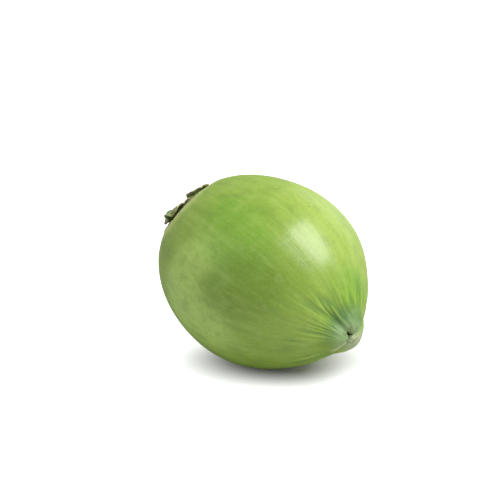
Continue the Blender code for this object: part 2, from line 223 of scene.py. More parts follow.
WALK_STEP = 0.0005


def noise_at(x, y, z):
    """Smooth noise, about -1 to 1, at many places at once."""
    return np.array([noise.noise(place) for place in np.stack([x, y, z], axis=1)])


def slit_places(radius, turn):
    """Distance from the slit, turn round it, and distance aside from the nearest groove."""
    across = radius * np.cos(turn) - SLIT_PLACE[0]
    aside = radius * np.sin(turn) - SLIT_PLACE[1]
    from_slit = np.hypot(across, aside)
    slit_turn = np.arctan2(aside, across) - NUB_TURN
    return from_slit, slit_turn, from_slit * np.abs(np.sin(SIDES * slit_turn / 2)) * 2 / SIDES


def lobe_relief(walk_to_tip, radius, turn):
    """Rise of the three lobes, with the grooves between them and the slit in the middle."""
    from_slit, slit_turn, off_groove = slit_places(radius, turn)
    fade = fade_out(GROOVE_FADE_START, GROOVE_REACH, from_slit)
    lobes = -LOBE_RISE * np.cos(SIDES * slit_turn) * bell(from_slit - LOBE_PLACE, LOBE_SPREAD)
    grooves = -GROOVE_DEPTH * fade * bell(off_groove, GROOVE_WIDTH)
    slit = -SLIT_DEPTH * bell(off_groove, SLIT_WIDTH) * fade_out(0, SLIT_REACH, from_slit)
    return (lobes + grooves + slit) * fade_out(*RELIEF_END, walk_to_tip)


def furrow_shares(walk_to_tip, turn):
    """How deep in a furrow, and how high on a ridge, each point lies, from 0 to 1."""
    x, y, z = np.cos(turn), np.sin(turn), walk_to_tip / FURROW_WANDER
    round_x, round_y = x * FURROWS_ROUND, y * FURROWS_ROUND
    wave = noise_at(round_x, round_y, z)
    wave += FINE_FURROW_SHARE * noise_at(
        round_x * FINE_FURROW_CROWDING, round_y * FINE_FURROW_CROWDING, z + 9
    )
    change = noise_at(x * STRENGTHS_ROUND, y * STRENGTHS_ROUND, z * STRENGTHS_ALONG + 20)
    strength = np.clip(MEAN_STRENGTH + STRENGTH_CHANGE * change, 0, 1)
    strength *= bell(walk_to_tip - FURROW_PLACE, FURROW_SPREAD)
    furrow = bell(wave - FURROW_LEVEL, FURROW_WIDTH) * strength
    ridge = bell(wave - RIDGE_LEVEL, FURROW_WIDTH) * strength
    return furrow, ridge


def skin_relief(walk_to_tip, radius, turn, height):
    """How far the skin stands out of the plain outline, with its furrows and ridges."""
    furrow, ridge = furrow_shares(walk_to_tip, turn)
    x, y = radius * np.cos(turn), radius * np.sin(turn)
    off_rest = smooth_step(*REST_SIDE_TURNS, np.abs((turn + np.pi) % (2 * np.pi) - np.pi))
    dents = DENT_DEPTH * off_rest * noise_at(x / DENT_SIZE, y / DENT_SIZE, height / DENT_SIZE)
    ribs = RIB_DEPTH * noise_at(
        np.cos(turn) * RIBS_ROUND, np.sin(turn) * RIBS_ROUND, walk_to_tip / RIB_WANDER
    )
    ribs *= smooth_step(*RIB_START, walk_to_tip) * off_rest
    folds = RIDGE_HEIGHT * ridge - FURROW_DEPTH * furrow
    return lobe_relief(walk_to_tip, radius, turn) + folds + dents + ribs, furrow, ridge


def flattened(along, radius, turn):
    """Radius at a share of the length, with the three flat faces pressed into it."""
    flatness = FACE_DEPTH * (FACE_SHARES[0] + FACE_SHARES[1] * along)
    return radius * (1 - flatness * np.cos(SIDES * (turn - FACE_TURN)))


def bowed(along, radial, turn):
    """Places across the fruit at a share of its length, as its axis leans and bows."""
    swell = 4 * along * (1 - along)
    x = radial * np.cos(turn) + TIP_SHIFT[0] * along + BOW[0] * swell
    y = radial * np.sin(turn) + TIP_SHIFT[1] * along + BOW[1] * swell
    return x, y


def skin_points(share, turn):
    """Points of the skin at shares of the walk and turns round the axis, with the furrows."""
    walk = share * WHOLE_WALK
    height = np.interp(walk, walks, heights)
    radius = np.interp(walk, walks, radii)
    before = np.clip(walk - WALK_STEP, 0, WHOLE_WALK)
    after = np.clip(walk + WALK_STEP, 0, WHOLE_WALK)
    upwards = np.interp(after, walks, heights) - np.interp(before, walks, heights)
    outwards = np.interp(after, walks, radii) - np.interp(before, walks, radii)
    step = np.hypot(upwards, outwards)
    relief, furrow, ridge = skin_relief(WHOLE_WALK - walk, radius, turn, height)
    along = height / FRUIT_LENGTH
    x, y = bowed(along, flattened(along, radius, turn) + relief * upwards / step, turn)
    return np.stack([x, y, height - relief * outwards / step], axis=1), furrow, ridge


print("lobes:", SIDES, "- furrows up to", FURROW_DEPTH * 1000, "mm deep")

# %% [markdown]
# ## The seat of the calyx
#
# The calyx presses the husk flat at its end, aslant to the axis, with a shallow dish under
# the stalk. One plane and one rounded minimum give that: a point that would stand out past
# the plane is brought back to it. The same plane later carries the bracts, so its middle and
# directions are kept by name.

# %% The seat's plane
SEAT_LEAN = (-0.3935, -0.3906)
SEAT_CUT = 0.0056
SEAT_DISH_RADIUS = 0.0250
SEAT_DISH_DEPTH = 0.0026
SEAT_DISH_EDGE = (0.5 * SEAT_DISH_RADIUS, 1.1 * SEAT_DISH_RADIUS)
SEAT_ROUNDING = 0.0020
SEAT_PRESS_DEPTHS = (-0.014, -0.004)
CAP_SHARE = 0.4
CAP_STEPS = 90
CAP_SOFTNESS = 0.0015

SEAT_SQUARE = np.array(Vector((*SEAT_LEAN, -1)).normalized())
SEAT_FIRST = np.array((Vector((1, 0, 0)) - Vector(SEAT_SQUARE) * SEAT_SQUARE[0]).normalized())
SEAT_SECOND = np.cross(SEAT_SQUARE, SEAT_FIRST)


def plain_cap():
    """Points of the smooth calyx end, without relief, from which the seat is placed."""
    walk, turn = np.meshgrid(
        np.linspace(0, CAP_SHARE, CAP_STEPS) * WHOLE_WALK,
        np.linspace(0, 2 * np.pi, CAP_STEPS, endpoint=False),
    )
    along = np.interp(walk, walks, heights) / FRUIT_LENGTH
    x, y = bowed(along, flattened(along, np.interp(walk, walks, radii), turn), turn)
    return np.stack([x.ravel(), y.ravel(), (along * FRUIT_LENGTH).ravel()], axis=1)


def find_seat_middle():
    """The point of the cap that stands out most along the seat's square line, less the cut."""
    cap = plain_cap()
    reach = cap @ SEAT_SQUARE
    weights = np.exp((reach - reach.max()) / CAP_SOFTNESS)
    middle = (cap * weights[:, None]).sum(axis=0) / weights.sum()
    return middle + SEAT_SQUARE * (reach.max() - SEAT_CUT - middle @ SEAT_SQUARE)


def seat_height(radius):
    """Height of the dished seat over its flat plane."""
    return -SEAT_DISH_DEPTH * fade_out(*SEAT_DISH_EDGE, radius)


def press_seat(points):
    """Presses points of the calyx end down into the seat, and gives their distance from it."""
    offset = points - SEAT_MIDDLE
    over = offset @ SEAT_SQUARE
    radius = np.linalg.norm(offset - over[:, None] * SEAT_SQUARE, axis=1)
    pressed = smooth_least(over, seat_height(radius), SEAT_ROUNDING)
    near = smooth_step(*SEAT_PRESS_DEPTHS, over)
    return points + SEAT_SQUARE * ((pressed - over) * near)[:, None], radius


SEAT_MIDDLE = find_seat_middle()
print("seat's middle in the fruit's frame, mm:", np.round(SEAT_MIDDLE * 1000, 1))

# %% [markdown]
# ## The husk
#
# The husk is one skin with no seam, so a UV sphere fits it: its poles fall on the two ends,
# where lines of growth really meet, and its UV map runs along the fruit. Its rings are put
# closer together at the tip, where the detail is, and close in on the slit. A subdivided cube
# would have no poles, but its lines would cross the furrows instead of following them.

# %% Add the sphere and move its points onto the skin
HUSK_SEGMENTS = 400
HUSK_RINGS = 236
RING_CROWDING = ((4.5, 0.012), (1.2, 0.040))
PULL_RADIUS = 0.024
TIP_PART_START = 1.2 * WIDEST_HEIGHT


def ring_shares(rings):
    """Shares of the walk at which the rings lie, crowded towards the tip."""
    shares = np.linspace(0, 1, PROFILE_STEPS)
    to_tip = (1 - shares) * WHOLE_WALK
    closeness = np.ones_like(shares)
    for more, spread in RING_CROWDING:
        closeness += more * bell(to_tip, spread)
    count = np.concatenate([[0], np.cumsum((closeness[1:] + closeness[:-1]) / 2)])
    return np.interp(np.linspace(0, 1, rings + 1), count / count[-1], shares)


def drawn_to_slit(share, turn):
    """Shares and turns near the tip, moved so that the rings close in on the slit."""
    walk = share * WHOLE_WALK
    radius = np.interp(walk, walks, radii)
    pull = fade_out(0, PULL_RADIUS, radius)
    x = radius * np.cos(turn) + SLIT_PLACE[0] * pull
    y = radius * np.sin(turn) + SLIT_PLACE[1] * pull
    tip_part = heights > TIP_PART_START
    moved = np.interp(np.hypot(x, y), radii[tip_part][::-1], walks[tip_part][::-1]) / WHOLE_WALK
    near = (walk > WHOLE_WALK / 2) & (radius < PULL_RADIUS)
    return np.where(near, moved, share), np.where(near, np.arctan2(y, x), turn)


bpy.ops.object.select_all(action="DESELECT")
bpy.ops.mesh.primitive_uv_sphere_add(segments=HUSK_SEGMENTS, ring_count=HUSK_RINGS, radius=1)
husk = bpy.context.object
husk.name = "husk_skin"
sphere = np.array([point.co for point in husk.data.vertices])
rings = np.round(HUSK_RINGS * (1 - np.arccos(np.clip(sphere[:, 2], -1, 1)) / np.pi)).astype(int)
husk_share, husk_turn = drawn_to_slit(
    ring_shares(HUSK_RINGS)[rings], np.arctan2(sphere[:, 1], sphere[:, 0])
)
bare_points, husk_furrow, husk_ridge = skin_points(husk_share, husk_turn)
husk_points, from_calyx = press_seat(bare_points)
husk.data.vertices.foreach_set("co", husk_points.ravel())
print("husk points:", len(husk_points))

# %% [markdown]
# ## Keeping what the finish needs
#
# The colours and streaks follow the growth of the fruit and not its place on the floor, so
# each point keeps a few values: its place on a straight tube as long as the skin, how near it
# is to the slit or the calyx, and how deep it lies in a furrow or groove. A material reads
# them with an Attribute node. The UV map would do for some of this, but it has a seam, and
# these values have none. The tip is bluer on one side, and one of its lobes is small and pale.

# %% Store the skin's attributes
SLIT_TO_TIP = (0.020, 0.050)
BLUE_SIDE_TURN = math.radians(215)
BLUE_SHARES = (0.62, 0.38)
BLUE_FADE = (0.008, 0.036)
LOBES_FADE = (0.005, 0.019)
SMALL_LOBE_TURN = math.radians(60)
SMALL_LOBE_SPREAD = 0.75
SMALL_LOBE_FADE = (0.013, 0.022)
LINE_WIDTH = 0.0012
LINE_SPREAD = 0.5
SECOND_LINE_SHARE = 0.35
LINE_START = (0.003, 0.008)
LINE_END = (0.014, 0.024)
# The slit's own band is painted near black in the skin's colour: painted shade in the slit
DARK_SLIT_WIDTH = 0.0008
DARK_SLIT_FADE = (0.0024, 0.0042)
BRACT_RING = 0.0262
RING_FADE = (0.0030, 0.0185)
RING_LINE_FADE = (0.0012, 0.0088)
FAR_OFF = 1.0


def store(mesh, name, kind, values):
    """Keeps a value for each point of a mesh, for its material to read."""
    field = "vector" if kind == "FLOAT_VECTOR" else "value"
    attribute = mesh.attributes.new(name, kind, "POINT")
    attribute.data.foreach_set(field, np.asarray(values, dtype=np.float32).ravel())


walk_to_tip = (1 - husk_share) * WHOLE_WALK
growth = np.stack(
    [
        FRUIT_WIDTH / 2 * np.cos(husk_turn),
        FRUIT_WIDTH / 2 * np.sin(husk_turn),
        walk_to_tip,
    ],
    axis=1,
)
tip_radius = np.interp(husk_share * WHOLE_WALK, walks, radii)
from_slit, slit_turn, off_groove = slit_places(tip_radius, husk_turn)
from_slit += smooth_step(*SLIT_TO_TIP, walk_to_tip) * (walk_to_tip - from_slit)
store(husk.data, "growth", "FLOAT_VECTOR", growth)


def turned_from(middle):
    """How far round the slit each point is turned from a direction, in radians."""
    return np.abs((slit_turn - middle + np.pi) % (2 * np.pi) - np.pi)


blue_side = BLUE_SHARES[0] + BLUE_SHARES[1] * np.cos(turned_from(BLUE_SIDE_TURN))
small_lobe = bell(turned_from(SMALL_LOBE_TURN), SMALL_LOBE_SPREAD)
first_line = bell(turned_from(0), LINE_SPREAD)
second_line = SECOND_LINE_SHARE * bell(turned_from(SMALL_LOBE_TURN * 2), LINE_SPREAD)
from_bracts = np.where(husk_share < 0.5, from_calyx, FAR_OFF) - BRACT_RING
skin_shares = {
    # furrow and ridge also carry painted shade in the furrows and painted light on the ridges
    "furrow": husk_furrow,
    "ridge": husk_ridge,
    "tip_share": blue_side * fade_out(*BLUE_FADE, from_slit),
    "lobe_share": fade_out(*LOBES_FADE, from_slit),
    "small_lobe": small_lobe * fade_out(*SMALL_LOBE_FADE, from_slit),
    "pale_line": bell(off_groove, LINE_WIDTH)
    * (first_line + second_line)
    * smooth_step(*LINE_START, from_slit)
    * fade_out(*LINE_END, from_slit),
    "slit_share": bell(off_groove, DARK_SLIT_WIDTH) * fade_out(*DARK_SLIT_FADE, from_slit),
    "ring_share": fade_out(*RING_FADE, from_bracts),
    "ring_line": fade_out(*RING_LINE_FADE, from_bracts),
}
for share_name, values in skin_shares.items():
    store(husk.data, share_name, "FLOAT", values)
print("attributes:", [a.name for a in husk.data.attributes if a.name[0] != "."])

# %% [markdown]
# ## Laying the fruit down
#
# The fruit was made standing on its calyx. It is turned so that the tip dips towards +X, as
# it comes to rest under its own weight, and then moved until it lies exactly where the CAD
# husk lies. The turn goes into the mesh and not into the object, because a pattern on Object
# coordinates would turn with the object.

# %% Turn and place it
LIE_TILT = math.radians(21.266)
LIE_ROLL = math.radians(-4.0)


def box_of(mesh):
    """Lowest and highest corner of a mesh."""
    points = np.array([point.co for point in mesh.vertices])
    return points.min(axis=0), points.max(axis=0)


laid_down = Matrix.Rotation(math.pi / 2 + LIE_TILT, 4, "Y") @ Matrix.Rotation(LIE_ROLL, 4, "Z")
husk.data.transform(laid_down)
low, high = box_of(husk.data)
cad_low, cad_high = (np.array(corner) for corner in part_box("husk"))
FRUIT_PLACE = (cad_low + cad_high - low - high) / 2
FRUIT_PLACE[2] = cad_high[2] - high[2]
husk.data.transform(Matrix.Translation(FRUIT_PLACE))
print("the fruit's frame stands at, mm:", np.round(FRUIT_PLACE * 1000, 2))

# %% [markdown]
# ## The spot that it lies on
#
# A heavy fruit flattens its skin a little where it touches the table. In edit mode the Bisect
# operator cuts off what would lie below the floor, and fills the cut with one face. A boolean
# would do the same, more slowly.

# %% Bisect at the floor
bpy.ops.object.mode_set(mode="EDIT")
bpy.ops.mesh.select_all(action="SELECT")
bpy.ops.mesh.bisect(
    plane_co=(0, 0, 0), plane_no=(0, 0, -1), use_fill=True, clear_outer=True, threshold=1e-6
)
bpy.ops.mesh.select_all(action="SELECT")
bpy.ops.mesh.normals_make_consistent(inside=False)
bpy.ops.object.mode_set(mode="OBJECT")
bpy.ops.object.shade_smooth()
largest = max(husk.data.polygons, key=lambda face: face.area)
largest.use_smooth = False
print("flat spot:", round(largest.area * 1e6), "square mm, box:", np.round(box_of(husk.data), 4))

# %% [markdown]
# ## The bracts of the calyx
#
# Six thick leathery bracts lie over the end of the husk like shingles, three inner ones on the
# skin and three outer ones over them. Each starts as a grid. Its points are laid out as a fan
# round the stalk and bent over the shoulder of the seat, then Solidify gives it a body that
# thins towards its margin, and Subdivision Surface rounds it. A cloth simulation wouldn't
# help: these bracts are stiff, and their form is grown.

# %% Sizes of the calyx
STEEP_SIDE = math.radians(305)
SHOULDER_RISE = (0.00315, 0.00095)
SHOULDER_BEND = (13.0, 5.7)
SEAM = 0.00015
WHORL_TURNS = (math.radians(26), math.radians(86))
BRACT_ROOT = 0.0062
BRACT_REACHES = (0.0278, 0.0240)
BRACT_HALF_SPREADS = (math.radians(61), math.radians(66))
BRACT_THICKNESSES = (0.0012, 0.0021)
MARGIN_THICKNESS_SHARE = 0.50
SHINGLE_RISE = 0.0021
SHINGLE_SHARES = (-0.45, -0.95)
TIP_ROUNDING = (0.14, 0.24)
INNER_DOME = 0.0012
OUTER_DOMES = (0.0038, 0.0024, 0.0030)
DOME_SKEW = 1.6
MIDDLE_SHARES = (0.6, 0.4)


def calyx_points(radius, turn, rise):
    """Points at a rise over the seat and its shoulder, round the seat's middle."""
    steep = np.cos(turn - STEEP_SIDE)
    bend = SHOULDER_BEND[0] + SHOULDER_BEND[1] * steep
    shoulder = SHOULDER_RISE[0] + SHOULDER_RISE[1] * steep - bend * radius**2 / 2
    bed = smooth_least(shoulder, seat_height(radius), SEAT_ROUNDING)
    along = np.outer(np.cos(turn), SEAT_FIRST) + np.outer(np.sin(turn), SEAT_SECOND)
    return SEAT_MIDDLE + along * radius[:, None] + np.outer(bed + rise, SEAT_SQUARE)


def swelling(whorl, radius, turn):
    """Share of a whorl's swelling, greatest in the middle of its three bracts."""
    share = np.clip((radius - BRACT_ROOT) / (BRACT_REACHES[whorl] - BRACT_ROOT), 0, 1)
    middles = np.cos(SIDES * (turn - WHORL_TURNS[whorl]))
    middles = MIDDLE_SHARES[0] + MIDDLE_SHARES[1] * middles
    return np.sin(np.pi * share**DOME_SKEW) * middles


print("calyx across:", round(2 * max(BRACT_REACHES) * 1000), "mm")

# %% [markdown]
# The margins dry first: they turn to cork, chip and tear. So the reach of a bract is uneven at
# three scales, each bract has one deep notch, the tip of one curls up like a finger, and the
# side of another has sprung off its neighbour. The seeds only give each bract noise of its own.

# %% The torn margins
EDGE_RAGGEDNESS = 0.0017
RAGS_ASIDE = 2.7
FINE_RAGS_ASIDE = 8.0
FINE_RAG_SHARE = 0.30
CHIP_DEPTH = 0.0013
CHIPS_ASIDE = 7.0
CHIP_LEVEL = 0.20
CHIP_STEEPNESS = 4
TIP_POWER = 2.4
NOTCHES = (
    (-0.32, 0.0022),
    (0.18, 0.0030),
    (-0.55, 0.0034),
    (0.40, 0.0020),
    (0.05, 0.0018),
    (-0.20, 0.0026),
)
NOTCH_WIDTH = 0.06
TIP_LIFTS = (0.0008, 0.0004, 0.0006)
TIP_LIFT_SPREAD = 0.45
LIFT_POWER = 3
SPRUNG_BRACT = 2
SPRUNG_RISE = 0.0022
SPRUNG_SPREAD = 0.45
CURLED_BRACT = 1
CURL_PLACE = -0.03
CURL_SPREAD = 0.060
CURL_RISE = 0.0058
CURL_REACH = 0.0022


def curl_share(whorl, number, aside):
    """1 at the middle of the curled tip, 0 away from it and on the other bracts."""
    curled = whorl == 1 and number == CURLED_BRACT - 1
    return curled * bell(aside - CURL_PLACE, CURL_SPREAD)


def tears_in_margin(whorl, number, aside):
    """Where the margin is chipped and where it is notched, each from 0 to 1."""
    seed = np.full_like(aside, 9.2 * whorl + 4.8 * number)
    chips = noise_at(aside * CHIPS_ASIDE, seed, aside * 0 + 5.2)
    notch = bell(aside - NOTCHES[whorl * SIDES + number][0], NOTCH_WIDTH)
    return np.clip((chips - CHIP_LEVEL) * CHIP_STEEPNESS, 0, 1), notch


def margin_reach(whorl, number, aside):
    """How far the margin stands from the middle: rounded, ragged, chipped and notched."""
    seed = np.full_like(aside, 7.1 * whorl + 3.7 * number)
    ragged = noise_at(aside * RAGS_ASIDE, seed, aside * 0 + 0.4)
    ragged += FINE_RAG_SHARE * noise_at(aside * FINE_RAGS_ASIDE, seed * 0.75, aside * 0 + 1.7)
    chipped, notched = tears_in_margin(whorl, number, aside)
    reach = BRACT_REACHES[whorl] * (1 - TIP_ROUNDING[whorl] * np.abs(aside) ** TIP_POWER)
    reach += EDGE_RAGGEDNESS * ragged - CHIP_DEPTH * chipped
    reach -= NOTCHES[whorl * SIDES + number][1] * notched
    return reach + CURL_REACH * curl_share(whorl, number, aside)


def bract_rise(whorl, number, radius, turn, outwards, aside):
    """Height of a bract's inner face over the seat."""
    rise = SEAM + INNER_DOME * swelling(0, radius, turn)
    if whorl:
        rise += BRACT_THICKNESSES[0] + SEAM + OUTER_DOMES[number] * swelling(1, radius, turn)
        rise += SHINGLE_RISE * smooth_step(*SHINGLE_SHARES, aside)
        rise += TIP_LIFTS[number] * bell(aside, TIP_LIFT_SPREAD) * outwards**LIFT_POWER
        rise += CURL_RISE * curl_share(whorl, number, aside) * outwards**LIFT_POWER
    if whorl and number == SPRUNG_BRACT - 1:
        rise += SPRUNG_RISE * bell(aside + 1, SPRUNG_SPREAD) * outwards
    return rise


print("margins ragged by", EDGE_RAGGEDNESS * 1000, "mm, chips", CHIP_DEPTH * 1000, "mm")

# %% [markdown]
# Leather that dries also wrinkles: low ribs run out from the root, and the whole bract puckers
# a little. Both are moves of the grid's points along the seat's square line, before the grid
# gets its thickness.

# %% Bend a grid into one bract
BRACT_STEPS = (26, 110)
RIB_RISE = 0.00024
RIBS_ASIDE = 17
RIB_LENGTH = 0.030
PUCKER_RISE = 0.0010
PUCKER_SIZE = 0.0075
WRINKLE_START = (0, 0.3)
WRINKLE_SHARES = (0.4, 1.0)
SIDE_WOBBLE = math.radians(3.5)
WOBBLES_OUTWARDS = 6
WOBBLE_POWER = 6
MARGIN_POWERS = (5, 10)
CURLED_MARGIN_LOSS = 0.8
TORN_POWER = 12
THINNING_POWER = 4
SCAR_SIZE = (0.0150, 0.0046)
FAN_SHIFT = 0.01
WHORL_NAMES = ("inner", "outer")


def wrinkles(radius, turn, outwards, seed):
    """Ribs that run outwards, and puckers, both fading towards the root."""
    ribs = noise_at(turn * RIBS_ASIDE, turn * 0 + seed, radius / RIB_LENGTH)
    puckers = noise_at(
        radius * np.cos(turn) / PUCKER_SIZE, radius * np.sin(turn) / PUCKER_SIZE, turn * 0 + seed
    )
    return (RIB_RISE * ribs + PUCKER_RISE * puckers) * smooth_step(*WRINKLE_START, outwards)


def make_bract(whorl, number):
    """One bract in the fruit's frame: a bent grid of points, with its attributes."""
    bpy.ops.object.select_all(action="DESELECT")
    bpy.ops.mesh.primitive_grid_add(
        x_subdivisions=BRACT_STEPS[0], y_subdivisions=BRACT_STEPS[1], size=2
    )
    bract = bpy.context.object
    bract.name = f"{WHORL_NAMES[whorl]}_bract_{number + 1}_leather"
    flat = np.array([point.co for point in bract.data.vertices])
    outwards, aside = (flat[:, 0] + 1) / 2, flat[:, 1]
    seed = 3.1 * whorl + 1.7 * number
    turn = WHORL_TURNS[whorl] + number * 2 * math.pi / SIDES + aside * BRACT_HALF_SPREADS[whorl]
    wobble = noise_at(outwards * WOBBLES_OUTWARDS, np.sign(aside) * 2, aside * 0 + seed)
    turn += SIDE_WOBBLE * wobble * np.abs(aside) ** WOBBLE_POWER
    radius = BRACT_ROOT + (margin_reach(whorl, number, aside) - BRACT_ROOT) * outwards
    rise = bract_rise(whorl, number, radius, turn, outwards, aside)
    rise += wrinkles(radius, turn, outwards, seed) * WRINKLE_SHARES[whorl]
    bract.data.vertices.foreach_set("co", calyx_points(radius, turn, rise).ravel())
    chipped, notched = tears_in_margin(whorl, number, aside)
    curled = curl_share(whorl, number, aside)
    margin = np.maximum(outwards ** MARGIN_POWERS[0], np.abs(aside) ** MARGIN_POWERS[1])
    margin *= 1 - CURLED_MARGIN_LOSS * curled
    torn = np.maximum(chipped, notched) * outwards**TORN_POWER * (1 - curled)
    across, upwards = radius * np.cos(turn), radius * np.sin(turn)
    scar = bell(np.hypot(across / SCAR_SIZE[0], upwards / SCAR_SIZE[1]), 1)
    # The root share darkens each bract's inner end round the stump: painted shade
    shares = {"margin": margin, "torn": torn, "root": 1 - outwards, "scar": scar}
    for share_name, share in shares.items():
        store(bract.data, share_name, "FLOAT", share)
    fan = np.stack([radius, turn * BRACT_REACHES[whorl], turn * 0 + FAN_SHIFT * seed], axis=1)
    store(bract.data, "fan", "FLOAT_VECTOR", fan)
    group = bract.vertex_groups.new(name="thickness")
    inner_shares = (1 - outwards**THINNING_POWER) * (1 - aside**THINNING_POWER)
    for index, share in enumerate(inner_shares):
        weight = MARGIN_THICKNESS_SHARE + (1 - MARGIN_THICKNESS_SHARE) * share
        group.add([index], float(weight), "REPLACE")
    return bract


def finish_piece(piece, node):
    """Lays a piece down with the fruit and hands it to the frame in a node's place."""
    piece.data.transform(Matrix.Translation(FRUIT_PLACE) @ laid_down)
    piece.data.shade_smooth()
    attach(piece, "root")
    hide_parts(node)


print("each bract's grid:", BRACT_STEPS)

# %% [markdown]
# A bract is thick in its middle and thin at its margin, so the Solidify modifier reads its
# thickness from a vertex group. It grows outwards only, so that the inner face keeps its gap to
# the skin. Both modifiers are applied, as the finished mesh is then laid down with the fruit.

# %% Make the six bracts
bracts = []
for whorl in range(2):
    for number in range(SIDES):
        bract = make_bract(whorl, number)
        solid = bract.modifiers.new("thickness", "SOLIDIFY")
        solid.thickness = BRACT_THICKNESSES[whorl]
        solid.offset = 1
        solid.vertex_group = "thickness"
        bpy.ops.object.modifier_apply(modifier="thickness")
        bract.vertex_groups.clear()
        rounding = bract.modifiers.new("rounding", "SUBSURF")
        rounding.levels = 1
        rounding.render_levels = 1
        bpy.ops.object.modifier_apply(modifier="rounding")
        slot = f"{WHORL_NAMES[whorl]}_bract"
        finish_piece(bract, f"{slot}_{number + 1}")
        bracts.append(bract)
print("bracts:", [(bract.name, len(bract.data.polygons)) for bract in bracts])

# %% [markdown]
# ## The torn stalk
#
# Where the fruit was pulled off its stalk, a pale fibrous stump is left in the middle of the
# calyx. It starts as a cylinder, whose outer face is inset a few times so that it has rings of
# points to move: they are drawn into an oval and torn up and down by noise.

# %% Model the stump
STUB_SIZE = (0.0104, 0.0068)
STUB_HEIGHT = 0.0066
STUB_SINK = 0.0006
STUB_SIDES = 64
STUB_RINGS = 9
STUB_INSET = 0.05
STUB_NARROWING = 0.14
STUB_TEAR = 0.0014
COARSE_TEARS = (230, 900)
FINE_TEARS = (500, 2100)
FINE_TEAR_SHARE = 0.5
FIBRE_LENGTH = 0.006
FIBRE_GAP = 0.0013

bpy.ops.object.select_all(action="DESELECT")
bpy.ops.mesh.primitive_cylinder_add(vertices=STUB_SIDES, radius=0.5, depth=1)
stub = bpy.context.object
stub.name = "stalk_stub_fibres"
bpy.ops.object.mode_set(mode="EDIT")
bpy.ops.mesh.select_mode(type="FACE")
bpy.ops.mesh.select_all(action="DESELECT")
bpy.ops.object.mode_set(mode="OBJECT")
for face in stub.data.polygons:
    face.select = face.normal.z > 0.9
bpy.ops.object.mode_set(mode="EDIT")
for ring in range(STUB_RINGS):
    bpy.ops.mesh.inset(thickness=STUB_INSET)
bpy.ops.object.mode_set(mode="OBJECT")
shape = np.array([point.co for point in stub.data.vertices])
outer = (shape[:, 2] > 0).astype(float)
narrowing = 1 - STUB_NARROWING * outer
x = shape[:, 0] * STUB_SIZE[0] * narrowing
y = shape[:, 1] * STUB_SIZE[1] * narrowing
tears = noise_at(x * COARSE_TEARS[0], y * COARSE_TEARS[1], outer)
tears += FINE_TEAR_SHARE * noise_at(x * FINE_TEARS[0], y * FINE_TEARS[1], outer + 9)
rise = SEAM + (STUB_HEIGHT - STUB_SINK + STUB_TEAR * tears) * outer
stub_points = calyx_points(np.hypot(x, y), np.arctan2(y, x), rise)
along_fibres = np.stack([x / FIBRE_LENGTH, y / FIBRE_GAP, rise / FIBRE_LENGTH], axis=1)
store(stub.data, "fibres", "FLOAT_VECTOR", along_fibres)
stub.data.vertices.foreach_set("co", stub_points.ravel())
bpy.ops.object.mode_set(mode="EDIT")
bpy.ops.mesh.select_all(action="SELECT")
bpy.ops.mesh.normals_make_consistent(inside=False)
bpy.ops.object.mode_set(mode="OBJECT")
finish_piece(stub, "stalk_stub")
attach(husk, "root")
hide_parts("husk")
print("stump faces:", len(stub.data.polygons))

# %% [markdown]
# ## Where the skin changes colour
#
# A young coconut's green is uneven: yellower where the sun reached it, greyer where the wax is
# thick, olive where it was rubbed. The grey patches on the left are also painted lighter, which
# is a painted sheen of the light from that side. A painter would mark these patches first. Here
# each patch is a place and a size in millimetres, and every point of the skin keeps how far it
# lies inside. The material later frays the edges of the patches with noise.

# %% Mark the patches on the skin
PATCHES = {
    "yellow_share": (
        ((66, 14, 100), 36),
        ((28, 24, 122), 38),
        ((-40, 50, 90), 35),
    ),
    "olive_share": (
        ((46, -53, 84), 26),
        ((20, -64, 78), 24),
        ((-52, 40, 60), 28),
        ((20, 62, 50), 22),
    ),
    # grey where the wax is thick, and on the left also lighter as a painted sheen of light
    "grey_and_sheen_share": (
        ((-12, -69, 72), 27),
        ((-4, -69, 50), 32),
        ((10, -62, 100), 20),
        ((-30, 40, 110), 30),
    ),
    "fresh_share": (
        ((27, -52, 105), 24),
        ((-2, -40, 122), 22),
        ((80, 2, 78), 20),
        ((10, 55, 90), 30),
    ),
}

placed_points = np.array([point.co for point in husk.data.vertices]) * 1000
for share_name, patches in PATCHES.items():
    inside = np.zeros(len(placed_points))
    for place, size in patches:
        inside += bell(np.linalg.norm(placed_points - place, axis=1), size)
    store(husk.data, share_name, "FLOAT", np.clip(inside, 0, 1))
    print(share_name, "covers", round(float((inside > 0.5).mean()), 2), "of the points")

# %% [markdown]
# ## Helpers for the finishes
#
# Colours are given as sRGB hex values, as on screen, and Blender's shaders want linear light,
# so one function converts them. Another adds a node with its settings and its links, and
# two small ones start a material and turn millimetres into a pattern's scale. The last lays
# colours over each other like thin coats of paint. Each coat names its kept value, the noise
# that frays it and by how much, the two levels between which it comes to cover, its strength
# and its colour. A coat whose first level is the higher one covers where the noise is low.

# %% Colour, node and paint helpers
def colour(code):
    """An sRGB hex colour as linear values, by the formula of the sRGB standard."""
    parts = [int(code[place : place + 2], 16) / 255 for place in (1, 3, 5)]
    linear = [
        part / 12.92 if part <= 0.04045 else ((part + 0.055) / 1.055) ** 2.4 for part in parts
    ]
    return (*linear, 1)


def add_node(tree, kind, settings=None, links=None):
    """Adds a node. Settings name its properties or its sockets, and links feed its sockets."""
    node = tree.nodes.new(kind)
    for name, value in (settings or {}).items():
        if hasattr(node, name):
            setattr(node, name, value)
    sockets = {socket.identifier: socket for socket in node.inputs}
    for name, value in (settings or {}).items():
        if name in sockets:
            sockets[name].default_value = value
    for name, source in (links or {}).items():
        tree.links.new(source, sockets[name])
    return node


def new_material(name):
    """A material with its Principled shader, and the node tree to build on."""
    material = bpy.data.materials.new(name)
    material.use_nodes = True
    return material, material.node_tree, material.node_tree.nodes["Principled BSDF"]


def per_metre(millimetres):
    """The scale of a pattern whose features are this far apart."""
    return 1000 / millimetres


